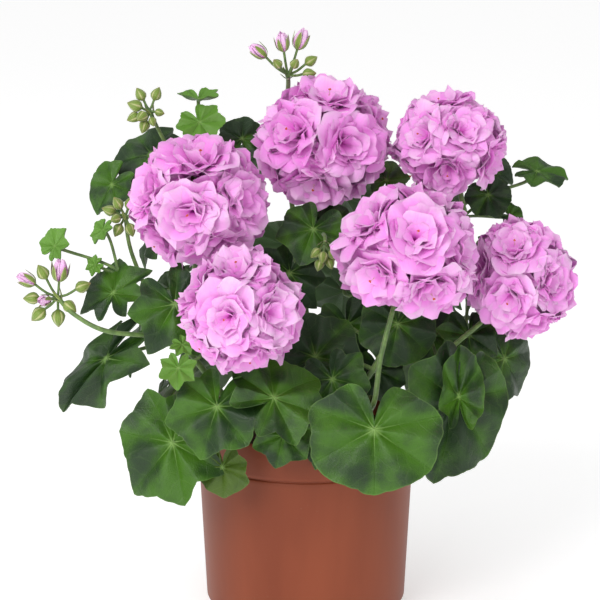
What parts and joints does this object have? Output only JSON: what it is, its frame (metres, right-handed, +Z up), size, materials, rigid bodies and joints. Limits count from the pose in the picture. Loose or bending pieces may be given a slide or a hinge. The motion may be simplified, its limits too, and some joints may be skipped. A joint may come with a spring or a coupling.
{
  "type": "potted ivy geranium",
  "caption": "Bushy ivy geranium with ball-shaped double flower heads, lobed leaves and bud sprays, growing in a round plastic pot filled with soil.",
  "frame": {"origin": "middle of the pot's base, on the surface that it stands on", "axes": "+Z up along the pot's axis, -Y towards the plant's front, +X to the right seen from the front"},
  "size_m": [0.3051, 0.2191, 0.3281],
  "materials": {
    "pot_plastic": "satin terracotta-coloured plastic",
    "soil": "dark crumbly potting soil",
    "foliage": "fleshy green leaves with a satin sheen and pale veins",
    "petals": "soft pink-lilac petals"
  },
  "bodies": {
    "root": {"pot": "pot_plastic", "soil": "soil", "stem_front_left": "foliage", "stem_left": "foliage", "stem_upper_left": "foliage", "stem_back": "foliage", "stem_upper_right": "foliage", "stem_right": "foliage", "stem_front": "foliage", "stem_rear_left": "foliage", "stem_rear_right": "foliage", "head_left": "petals", "head_top": "petals", "head_centre_right": "petals", "head_lower_left": "petals", "head_upper_right": "petals", "head_right": "petals"}
  },
  "joints": []
}
